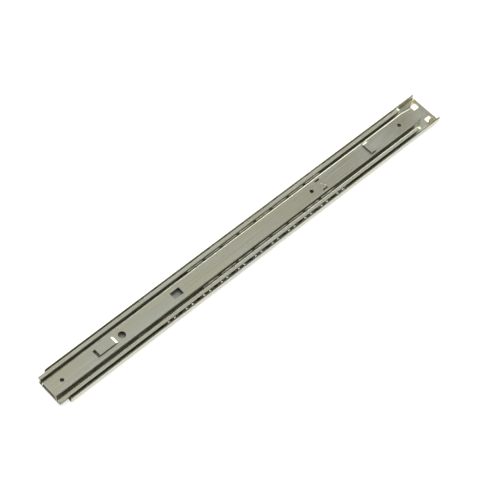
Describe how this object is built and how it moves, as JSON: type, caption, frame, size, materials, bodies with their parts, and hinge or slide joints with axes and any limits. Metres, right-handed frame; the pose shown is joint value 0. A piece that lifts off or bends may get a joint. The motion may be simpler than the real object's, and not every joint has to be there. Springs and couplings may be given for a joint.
{
  "type": "cabinet drawer slide",
  "caption": "Full-extension ball-bearing drawer slide: nested cabinet, intermediate and drawer members of rolled zinc-plated steel, running on caged ball rows.",
  "frame": {"origin": "middle of the cabinet member's back face", "axes": "+X along the slide towards the drawer's front, Y across the section, +Z from the cabinet face to the drawer face"},
  "size_m": [0.5703, 0.0456, 0.0149],
  "materials": {
    "zinc_plated_steel": "satin zinc plate with a faint passivation tint",
    "cage_steel": "satin zinc-plated strip",
    "polished_ball_steel": "polished hardened steel"
  },
  "bodies": {
    "cabinet": {"cabinet_member": "zinc_plated_steel"},
    "intermediate": {"intermediate_member": "zinc_plated_steel"},
    "drawer": {"drawer_member": "zinc_plated_steel"},
    "outer_cage": {"outer_ball_cage": "cage_steel", "outer_balls_left_01": "polished_ball_steel", "outer_balls_left_02": "polished_ball_steel", "outer_balls_left_03": "polished_ball_steel", "outer_balls_left_04": "polished_ball_steel", "outer_balls_left_05": "polished_ball_steel", "outer_balls_left_06": "polished_ball_steel", "outer_balls_left_07": "polished_ball_steel", "outer_balls_left_08": "polished_ball_steel", "outer_balls_left_09": "polished_ball_steel", "outer_balls_left_10": "polished_ball_steel", "outer_balls_left_11": "polished_ball_steel", "outer_balls_right_01": "polished_ball_steel", "outer_balls_right_02": "polished_ball_steel", "outer_balls_right_03": "polished_ball_steel", "outer_balls_right_04": "polished_ball_steel", "outer_balls_right_05": "polished_ball_steel", "outer_balls_right_06": "polished_ball_steel", "outer_balls_right_07": "polished_ball_steel", "outer_balls_right_08": "polished_ball_steel", "outer_balls_right_09": "polished_ball_steel", "outer_balls_right_10": "polished_ball_steel", "outer_balls_right_11": "polished_ball_steel"},
    "inner_cage": {"inner_ball_cage": "cage_steel", "inner_balls_left_01": "polished_ball_steel", "inner_balls_left_02": "polished_ball_steel", "inner_balls_left_03": "polished_ball_steel", "inner_balls_left_04": "polished_ball_steel", "inner_balls_left_05": "polished_ball_steel", "inner_balls_left_06": "polished_ball_steel", "inner_balls_left_07": "polished_ball_steel", "inner_balls_left_08": "polished_ball_steel", "inner_balls_right_01": "polished_ball_steel", "inner_balls_right_02": "polished_ball_steel", "inner_balls_right_03": "polished_ball_steel", "inner_balls_right_04": "polished_ball_steel", "inner_balls_right_05": "polished_ball_steel", "inner_balls_right_06": "polished_ball_steel", "inner_balls_right_07": "polished_ball_steel", "inner_balls_right_08": "polished_ball_steel"}
  },
  "joints": [
    {"name": "intermediate_slide", "type": "slide", "parent": "cabinet", "child": "intermediate", "axis": [1, 0, 0], "range_m": [-0.0115, 0.2393]},
    {"name": "drawer_slide", "type": "slide", "parent": "intermediate", "child": "drawer", "axis": [1, 0, 0], "range_m": [0, 0.298]},
    {"name": "outer_cage_slide", "type": "slide", "parent": "cabinet", "child": "outer_cage", "axis": [1, 0, 0], "range_m": [-0.00575, 0.11965]},
    {"name": "inner_cage_slide", "type": "slide", "parent": "intermediate", "child": "inner_cage", "axis": [1, 0, 0], "range_m": [0, 0.149]}
  ],
  "couplings": [
    {"joint": "outer_cage_slide", "follows": "intermediate_slide", "ratio": 0.5},
    {"joint": "inner_cage_slide", "follows": "drawer_slide", "ratio": 0.5}
  ]
}
